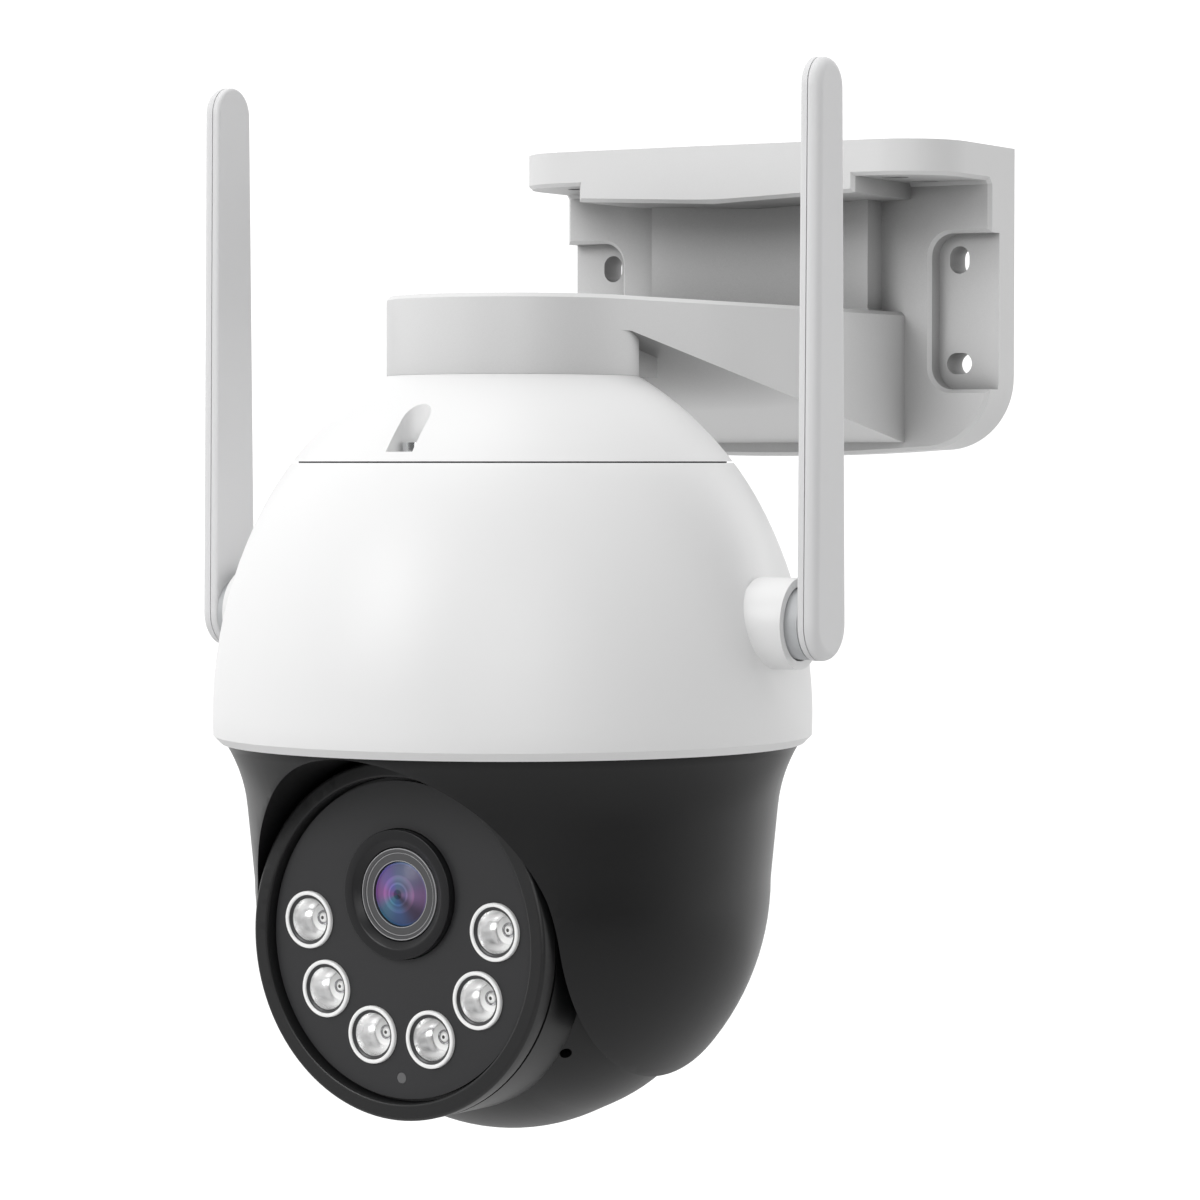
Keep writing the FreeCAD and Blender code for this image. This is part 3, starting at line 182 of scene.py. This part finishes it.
def moulded(name, colour, rough, grain=2400.0, bump=0.12, spread=0.05, painted_shade=0.0, specular=0.5):
    """Moulded plastic: a fine eroded grain, a faint cloudiness and a slightly uneven gloss.

    One argument sets painted shade: how much darker its corners and recesses are painted, with an ambient
    occlusion node, than the lights alone make them.
    """
    g = Graph(name)
    cloud = g.noise(CLOUD_SCALE, 3.0, 0.55)
    tint = g.ramp(cloud, "Fac", [(0.3, shade(colour, 1 - spread)), (0.7, shade(colour, 1 + spread))])
    if painted_shade:
        # Painted shade: an ambient occlusion node darkens the colour in corners and recesses.
        painted_shade_node = g.add("ShaderNodeAmbientOcclusion", samples=8)
        painted_shade_node.inputs["Distance"].default_value = PAINTED_SHADE_REACH
        share = g.spread(painted_shade_node, "AO", 1 - painted_shade, 1.0, 0.0, 1.0)
        g.multiply(tint, "Color", share, "Result")
    else:
        g.join(tint, "Color", g.shader, "Base Color")
    fine = g.noise(grain, 2.0, 0.6)
    gloss = g.spread(cloud, "Fac", rough - 0.03, rough + 0.04)
    g.join(gloss, "Result", g.shader, "Roughness")
    g.bump(fine, "Fac", bump, PLASTIC_DEPTH)
    g.set(Specular_IOR_Level=specular)
    return g.material


def metal(name, colour, rough, brushed=0.0, grain=900.0, bump=0.05):
    """Metal with fine marks; brushed metal has them drawn out along one direction."""
    g = Graph(name)
    coord = g.add("ShaderNodeTexCoord")
    stretch = g.add("ShaderNodeMapping")
    stretch.inputs["Scale"].default_value = (1.0, 1.0 - 0.9 * brushed, 1.0 + 6 * brushed)
    g.join(coord, "Object", stretch, "Vector")
    marks = g.add("ShaderNodeTexNoise")
    marks.inputs["Scale"].default_value = grain
    marks.inputs["Detail"].default_value = 3.0
    g.join(stretch, "Vector", marks, "Vector")
    tint = g.ramp(marks, "Fac", [(0.3, shade(colour, 0.9)), (0.7, shade(colour, 1.06))])
    g.join(tint, "Color", g.shader, "Base Color")
    gloss = g.spread(marks, "Fac", max(0.02, rough - 0.05), rough + 0.08)
    g.join(gloss, "Result", g.shader, "Roughness")
    g.bump(marks, "Fac", bump + 0.15 * brushed, METAL_DEPTH)
    g.set(Metallic=1.0)
    return g.material


def clear(name, colour, rough=0.02):
    g = Graph(name)
    dust = g.noise(900.0, 2.0)
    gloss = g.spread(dust, "Fac", rough, rough + 0.05)
    g.join(gloss, "Result", g.shader, "Roughness")
    g.set(Base_Color=(*colour, 1), Transmission_Weight=1.0, IOR=1.5, Alpha=1.0)
    return g.material


GLASS_PAINTED_HUES = (                                     # share of the turn, colour of the coating's painted reflection
    (0.00, (0.22, 0.13, 0.25)), (0.10, (0.15, 0.13, 0.22)), (0.25, (0.13, 0.15, 0.25)),
    (0.37, (0.16, 0.11, 0.32)), (0.50, (0.24, 0.09, 0.27)), (0.62, (0.07, 0.16, 0.24)),
    (0.75, (0.06, 0.10, 0.22)), (0.88, (0.07, 0.05, 0.09)), (1.00, (0.22, 0.13, 0.25)),
)
GLASS_PAINTED_RINGS = (                                    # share of the radius, brightness of painted reflections, above one for painted highlights
    (0.00, (0.25, 0.30, 0.30)), (0.13, (0.32, 0.42, 0.42)), (0.17, (0.80, 0.90, 0.90)),
    (0.29, (0.65, 0.90, 1.00)), (0.33, (1.25, 1.50, 1.50)), (0.39, (0.80, 0.90, 0.90)),
    (0.50, (1.20, 1.30, 1.25)), (0.56, (1.35, 1.20, 1.25)), (0.60, (0.80, 0.85, 0.90)),
    (0.90, (0.75, 0.75, 0.80)), (0.94, (0.95, 1.10, 1.30)), (0.97, (1.50, 2.00, 1.80)),
    (1.00, (0.50, 0.60, 0.70)),
)


def glass_with_painted_reflections(name):
    """Dark glass with its coating's reflections painted into its colour: hues that change around it, under lighter
    and darker painted circles of reflection and highlight.
    """
    g = Graph(name)
    turn = g.add("ShaderNodeUVMap", uv_map="turn")
    parts = g.add("ShaderNodeSeparateXYZ")
    g.join(turn, "UV", parts, "Vector")
    grain = g.noise(420.0, 3.0)
    # Painted reflection: the coating's hues and the lighter and darker circles are laid into the base colour.
    painted_hue = g.ramp(parts, "Y", GLASS_PAINTED_HUES, smooth=True)
    painted_rings = g.ramp(parts, "X", GLASS_PAINTED_RINGS)
    g.multiply(painted_hue, "Color", painted_rings, "Color")
    gloss = g.spread(grain, "Fac", 0.28, 0.36)
    g.join(gloss, "Result", g.shader, "Roughness")
    g.set(Specular_IOR_Level=0.25, Coat_Weight=0.05, Coat_Roughness=0.1)
    return g.material


# Plastics: name, colour, roughness and what differs from the usual grain.
PLASTICS = (
    ("white_shell", (0.79, 0.79, 0.79), 0.42, dict(bump=0.10, spread=0.008)),
    # The bracket's colour has painted shade darkening its corners and recesses.
    ("bracket_shell", (0.70, 0.70, 0.70), 0.45, dict(spread=0.01, painted_shade=0.9)),
    ("antenna_plastic", (0.68, 0.68, 0.685), 0.45, dict(spread=0.012)),
    ("grey_plastic", (0.46, 0.47, 0.48), 0.5, {}),
    ("rubber_black", (0.02, 0.02, 0.021), 0.75, dict(grain=1500, bump=0.2)),
    ("board", (0.02, 0.13, 0.06), 0.3, dict(grain=500)),
    ("aerial_strip", (0.05, 0.16, 0.08), 0.3, dict(grain=500)),
    ("chip_black", (0.02, 0.02, 0.022), 0.5, {}),
    ("gear_plastic", (0.78, 0.75, 0.66), 0.4, {}),
    ("inner_plastic", (0.05, 0.05, 0.055), 0.5, {}),
    ("black_shell", (0.004, 0.004, 0.0044), 0.36, dict(bump=0.10, spread=0.06, specular=0.36)),
    ("ring_black", (0.012, 0.012, 0.0125), 0.38, dict(bump=0.10, spread=0.06, specular=0.42)),
    ("panel_black", (0.031, 0.031, 0.0325), 0.32, dict(bump=0.04, spread=0.03, specular=0.4)),
    ("lens_black", (0.010, 0.010, 0.011), 0.35, dict(bump=0.1, specular=0.35)),
    ("barrel_grey", (0.075, 0.075, 0.078), 0.35, dict(bump=0.06)),
    # Light grey on the barrel's small ridges, a painted highlight.
    ("lens_line_painted_highlight", (0.42, 0.42, 0.43), 0.3, dict(bump=0.03)),
    ("lamp_base", (0.97, 0.97, 0.965), 0.25, dict(bump=0.03, spread=0.02)),
    ("lamp_groove", (0.035, 0.035, 0.037), 0.3, dict(bump=0.03, spread=0.03)),
    ("lamp_die", (0.07, 0.07, 0.065), 0.25, dict(bump=0.05)),
    ("sensor_grey", (0.13, 0.13, 0.132), 0.3, dict(bump=0.03)),
)
METALS = (
    ("screw_steel", (0.75, 0.76, 0.77), 0.16, {}),
    ("bearing_steel", (0.6, 0.61, 0.62), 0.22, dict(brushed=0.5)),
    ("motor_can", (0.55, 0.56, 0.55), 0.35, {}),
    ("brass", (0.72, 0.52, 0.22), 0.25, {}),
    ("reflector_chrome", (0.92, 0.92, 0.92), 0.22, dict(grain=90.0, bump=0.0)),
    ("lamp_ring", (0.35, 0.35, 0.36), 0.22, {}),
)
CLEARS = (("lens_coated", (0.75, 0.6, 0.95)), ("lamp_clear", (1.0, 0.97, 0.85)))

MATERIALS = {name: moulded(name, colour, rough, **more) for name, colour, rough, more in PLASTICS}
MATERIALS.update((name, metal(name, colour, rough, **more)) for name, colour, rough, more in METALS)
MATERIALS.update((name, clear(name, colour)) for name, colour in CLEARS)
MATERIALS["lens_front"] = glass_with_painted_reflections("lens_front")

OTHER_FINISH = {"wall_bracket": "bracket_shell", "lens_barrel": "barrel_grey", "light_sensor": "sensor_grey"}


def dress_cad_nodes():
    """Give every carried-over node the material of its slot, or a closer one for its own place."""
    slots = {part["node"]: part["material_slot"] for part in frame["record"]["subparts"]}
    for name, node in frame["nodes"].items():
        node.data.materials.clear()
        node.data.materials.append(MATERIALS[OTHER_FINISH.get(name, slots[name])])


# ---------------------------------------------------------------- turned pieces on the face

def face_points(node):
    """The vertices of a CAD node in the face's own frame, in millimetres."""
    to_face = FACE.inverted()
    return [to_face @ vertex.co / MM for vertex in frame["nodes"][node].data.vertices]


def face_box(node):
    points = face_points(node)
    return [[pick(point[axis] for point in points) for axis in range(3)] for pick in (min, max)]


def turned(name, profile, centres, finish, around=96):
    """Turn one profile of (radius, depth), in millimetres, about each centre on the face.

    The mesh's map holds the share of the full radius and the angle, for the materials.
    """
    work = bmesh.new()
    layer = work.loops.layers.uv.new("turn")
    reach = max(radius for radius, _ in profile)
    for across, up in centres:
        rows = []
        for radius, depth in profile:
            if radius < 1e-6:
                rows.append([work.verts.new(FACE @ (Vector((across, up, depth)) * MM))] * around)
                continue
            rows.append([work.verts.new(FACE @ (Vector((across + radius * math.cos(turn), up + radius *
                                                        math.sin(turn), depth)) * MM))
                         for turn in (2 * math.pi * step / around for step in range(around))])
        for low in range(len(profile) - 1):
            for step in range(around):
                after = (step + 1) % around
                loop = [(low, step), (low + 1, step), (low + 1, after), (low, after)]
                corners = []
                for row, column in loop:
                    vertex = rows[row][column]
                    if not any(vertex is seen for seen, _, _ in corners):
                        corners.append((vertex, profile[row][0] / reach, column))
                face = work.faces.new([corner[0] for corner in corners])
                face.smooth = True
                for corner, (_, share, column) in zip(face.loops, corners):
                    turn_share = (column if column or step == 0 else around) / around
                    corner[layer].uv = (share, turn_share)
    mesh = bpy.data.meshes.new(name)
    work.to_mesh(mesh)
    work.free()
    mesh.materials.append(MATERIALS[finish])
    piece = bpy.data.objects.new(name, mesh)
    bpy.context.scene.collection.objects.link(piece)
    return piece


def rounded(points, radius=0.12, steps=3):
    """Round the inner corners of a profile with short arcs."""
    out = [points[0]]
    for before, corner, after in zip(points, points[1:], points[2:]):
        here = Vector(corner)
        ins, outs = Vector(before) - here, Vector(after) - here
        reach = min(radius, ins.length * 0.45, outs.length * 0.45)
        start, end = here + ins.normalized() * reach, here + outs.normalized() * reach
        for step in range(steps + 1):
            share = step / steps
            spot = start * (1 - share) ** 2 + here * 2 * share * (1 - share) + end * share ** 2
            out.append((spot.x, spot.y))
    return out + [points[-1]]


def lamp_centres():
    """Where the six lamps stand, from the CAD lamps' own turned faces."""
    mesh = frame["nodes"]["led_lamps"].data
    points = face_points("led_lamps")
    group = list(range(len(points)))

    def top(index):
        while group[index] != index:
            group[index] = group[group[index]]
            index = group[index]
        return index

    for polygon in mesh.polygons:
        first = top(polygon.vertices[0])
        for other in polygon.vertices[1:]:
            group[top(other)] = first
    islands = {}
    for index, point in enumerate(points):
        islands.setdefault(top(index), []).append(point)
    centres = []
    for members in islands.values():
        middle = [(min(point[axis] for point in members) + max(point[axis] for point in members)) / 2
                  for axis in (0, 1)]
        if all(math.dist(middle, other) > 2 for other in centres):
            centres.append(middle)
    return sorted(centres)


LAMP_PARTS = (
    # name, finish, the record's slot, steps around, corner radius,
    # and the profile as (inset from the rim, depth under the rim's top) in mm
    ("lamp_rims", "lamp_base", "reflector_chrome", 96, 0.15,
     ((0, 1.1), (0, 0.2), (0.2, 0), (0.6, 0), (0.78, 0.15), (0.82, 0.4))),
    ("lamp_grooves", "lamp_groove", "reflector_chrome", 96, 0.1,
     ((0.80, 0.32), (0.95, 0.5), (1.35, 0.62), (1.5, 0.9))),
    ("lamp_cups", "reflector_chrome", "reflector_chrome", 96, 0.5,
     ((1.46, 0.75), (1.62, 1.4), (1.85, 2.6), (2.2, 3.9), (2.9, 5.2))),
    ("lamp_bases", "lamp_base", "reflector_chrome", 64, 0.06,
     ((2.85, 5.28), (2.95, 5.16), (4.15, 5.14), (4.25, 5.22))),
    ("lamp_rings", "lamp_ring", "reflector_chrome", 48, 0.08,
     ((4.2, 5.25), (4.28, 4.9), (4.5, 4.85), (4.62, 5.1))),
    ("lamp_domes", "lamp_base", "lamp_clear", 48, 0.12,
     ((4.6, 5.2), (4.85, 4.92), (5.3, 4.78))),
    ("lamp_dies", "lamp_die", "lamp_clear", 32, 0.05,
     ((5.28, 4.82), (5.4, 4.72), (5.65, 4.7))),
)


def lamps():
    """Chrome cups with a white rim and floor, each with a ringed lamp in the middle of its floor."""
    centres = lamp_centres()
    high = face_box("led_reflectors")[1]
    rim = high[0] - max(across for across, _ in centres)
    for name, finish, slot, around, corner, insets in LAMP_PARTS:
        profile = [(max(0.0, rim - inset), high[2] - depth) for inset, depth in insets]
        piece = turned(name, rounded(profile, corner), centres, finish, around)
        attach(piece, "camera_module")
        if name == "lamp_cups":
            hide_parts("led_reflectors")
        if name == "lamp_domes":
            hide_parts("led_lamps")


BEZEL_OUT = 0.1            # mm that the visual bezel stands past the CAD one
BEZEL_LAND = 2.0           # width of its flat face
BEZEL_SUNK = 1.2           # how far it goes down into the panel
BEZEL_GAP = 0.1            # between it and the barrel


def lens_bezel():
    """A raised ring with a flat face and a shallow cone inside it, down to the barrel's face."""
    low, high = face_box("lens_bezel")
    centre = ((low[0] + high[0]) / 2, (low[1] + high[1]) / 2)
    radius, front = (high[0] - low[0]) / 2 + BEZEL_OUT, high[2]
    barrel_low, barrel_high = face_box("lens_barrel")
    barrel, level = (barrel_high[0] - barrel_low[0]) / 2, barrel_high[2]
    panel = face_box("face_panel")[1][2]
    profile = [(radius - 0.25, panel - BEZEL_SUNK), (radius, panel - 0.1),
               (radius, front), (radius - BEZEL_LAND, front),
               (barrel + BEZEL_GAP + 0.02, level - 0.1), (barrel + BEZEL_GAP, level - 1.5)]
    piece = turned("lens_bezel_ring", rounded(profile, 0.25, 4), [centre], "lens_black", 160)
    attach(piece, "camera_module")
    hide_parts("lens_bezel")


GLASS_CURVE = 15.0         # radius of the front glass's dome, in mm
GLASS_STEPS = 16
GLASS_EDGE = 1.0           # how far its rim goes down
LINE_STEPS = 10            # sides of a bright line's round section


def lens_pieces():
    """The coated front glass, its reflections painted, and the fine round ridges on the barrel's face, painted
    light grey as a highlight.
    """
    low, high = face_box("lens_glass")
    centre = ((low[0] + high[0]) / 2, (low[1] + high[1]) / 2)
    radius, front = (high[0] - low[0]) / 2, high[2]
    base = front + 0.1 - GLASS_CURVE
    steps = [radius * step / GLASS_STEPS for step in range(GLASS_STEPS, -1, -1)]
    cap = [(across, base + math.sqrt(GLASS_CURVE ** 2 - across ** 2)) for across in steps]
    glass = turned("lens_front", [(radius, cap[0][1] - GLASS_EDGE)] + cap, [centre], "lens_front")
    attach(glass, "camera_module")
    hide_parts("lens_glass")
    rim_low, rim_high = face_box("lens_barrel")
    outer, face = (rim_high[0] - rim_low[0]) / 2, rim_high[2]
    lines = (                                      # name, radius, half thickness, height
        ("lens_line_outer", outer - 0.16, 0.10, face - 0.05),
        ("lens_line_middle", outer - 0.98, 0.09, face - 0.3),
        ("lens_line_inner", radius + 0.12, 0.08, face - 0.32),
    )
    for name, middle, half, depth in lines:
        turns = [2 * math.pi * step / LINE_STEPS for step in range(LINE_STEPS + 1)]
        ring = [(middle + half * math.cos(turn), depth + half * math.sin(turn)) for turn in turns]
        line = turned(name, ring, [centre], "lens_line_painted_highlight")
        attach(line, "camera_module")


ROUNDED = (                                        # CAD nodes whose sharp edges are eased, and by how much
    ("pan_yoke", 1.2), ("dome_housing", 0.3), ("front_ring", 0.25),
)


SHARP_ANGLE = 38           # degrees between two faces from which their edge is rounded
WELD_WITHIN = 0.005 * MM


def ease_edges():
    """Round the sharp edges of the big mouldings with modifiers, their meshes left as they are."""
    for name, width in ROUNDED:
        node = frame["nodes"][name]
        weld = node.modifiers.new("weld", "WELD")
        weld.merge_threshold = WELD_WITHIN
        bevel = node.modifiers.new("ease", "BEVEL")
        bevel.limit_method = "ANGLE"
        bevel.angle_limit = math.radians(SHARP_ANGLE)
        bevel.width = width * MM
        bevel.segments = 3
        bevel.harden_normals = False
        bevel.use_clamp_overlap = True


# ---------------------------------------------------------------- studio

def studio():
    """A pale floor far below, a key, a top and a fill light, and the surround."""
    low = cad_box[0].z - FLOOR_BELOW
    mesh = bpy.data.meshes.new("studio_floor")
    corners = [(across * FLOOR_HALF, along * FLOOR_HALF, low) for across, along in
               ((-1, -1), (1, -1), (1, 1), (-1, 1))]
    mesh.from_pydata(corners, [], [(0, 1, 2, 3)])
    floor = bpy.data.objects.new("studio_floor", mesh)
    bpy.context.scene.collection.objects.link(floor)
    g = Graph("studio_floor")
    grain = g.noise(3.0, 2.0)
    tint = g.ramp(grain, "Fac", [(0.3, shade(FLOOR_TINT, 0.98)), (0.7, shade(FLOOR_TINT, 1.02))])
    g.join(tint, "Color", g.shader, "Base Color")
    g.set(Roughness=0.9, Specular_IOR_Level=0.1)
    mesh.materials.append(g.material)
    for name, aside, near, up, wide, power in LIGHTS:
        area_light(name, aside, near, up, wide, power)
    surround()


def surround():
    """Light from all round, weaker in front of the object, as in a room with one bright end."""
    world = bpy.data.worlds.new("surround")
    world.use_nodes = True
    tree = world.node_tree
    coord = tree.nodes.new("ShaderNodeTexCoord")
    along = tree.nodes.new("ShaderNodeVectorMath")
    along.operation = "DOT_PRODUCT"
    along.inputs[1].default_value = VIEW_AHEAD
    level = tree.nodes.new("ShaderNodeMapRange")
    level.interpolation_type = "SMOOTHSTEP"
    fade_from, fade_to = SURROUND_FADE
    for name, value in (("From Min", fade_from), ("From Max", fade_to), ("To Min", DIM), ("To Max", BRIGHT)):
        level.inputs[name].default_value = value
    tree.links.new(coord.outputs["Generated"], along.inputs[0])
    tree.links.new(along.outputs["Value"], level.inputs["Value"])
    path = tree.nodes.new("ShaderNodeLightPath")
    seen = tree.nodes.new("ShaderNodeMath")        # the backdrop itself shows white in every view
    seen.operation = "MAXIMUM"
    tree.links.new(level.outputs["Result"], seen.inputs[0])
    tree.links.new(path.outputs["Is Camera Ray"], seen.inputs[1])
    tree.links.new(seen.outputs["Value"], tree.nodes["Background"].inputs["Strength"])
    tree.nodes["Background"].inputs["Color"].default_value = (1, 1, 1, 1)
    bpy.context.scene.world = world


def area_light(name, aside, near, up, wide, power):
    """A round soft light, placed from the pan axis: aside to the right, near towards the camera."""
    light = bpy.data.lights.new(name, "AREA")
    light.shape = "DISK"
    light.size = wide
    light.energy = power
    lamp = bpy.data.objects.new(name, light)
    middle = Vector((PAN_AXIS.x, PAN_AXIS.y, SEAM))
    lamp.location = middle + VIEW_RIGHT * aside - VIEW_AHEAD * near + Vector((0, 0, up))
    aim = middle - lamp.location
    lamp.rotation_euler = aim.to_track_quat("-Z", "Y").to_euler()
    bpy.context.scene.collection.objects.link(lamp)


CAMERA_AWAY = 0.8372       # from the pan axis to the camera, measured along its view
CAMERA_ASIDE = 0.01746     # how far right of the pan axis the camera's own axis passes
CAMERA_DOWN = 1.888        # degrees below level
CAMERA_LENS = 125.2        # mm on a 36 mm frame


def photo_camera():
    """A camera level with the dome's seam, in front and to the right."""
    place = Vector((PAN_AXIS.x, PAN_AXIS.y, SEAM)) - VIEW_AHEAD * CAMERA_AWAY + VIEW_RIGHT * CAMERA_ASIDE
    data = bpy.data.cameras.new("camera")
    data.lens = CAMERA_LENS
    data.sensor_width = 36.0
    camera = bpy.data.objects.new("camera", data)
    camera.location = place
    camera.rotation_euler = (math.radians(90 - CAMERA_DOWN), 0, math.radians(VIEW_AZIMUTH))
    bpy.context.scene.collection.objects.link(camera)
    bpy.context.scene.camera = camera


dress_cad_nodes()
lamps()
lens_bezel()
lens_pieces()
ease_edges()
studio()
photo_camera()
bpy.context.scene.view_settings.view_transform = "Standard"
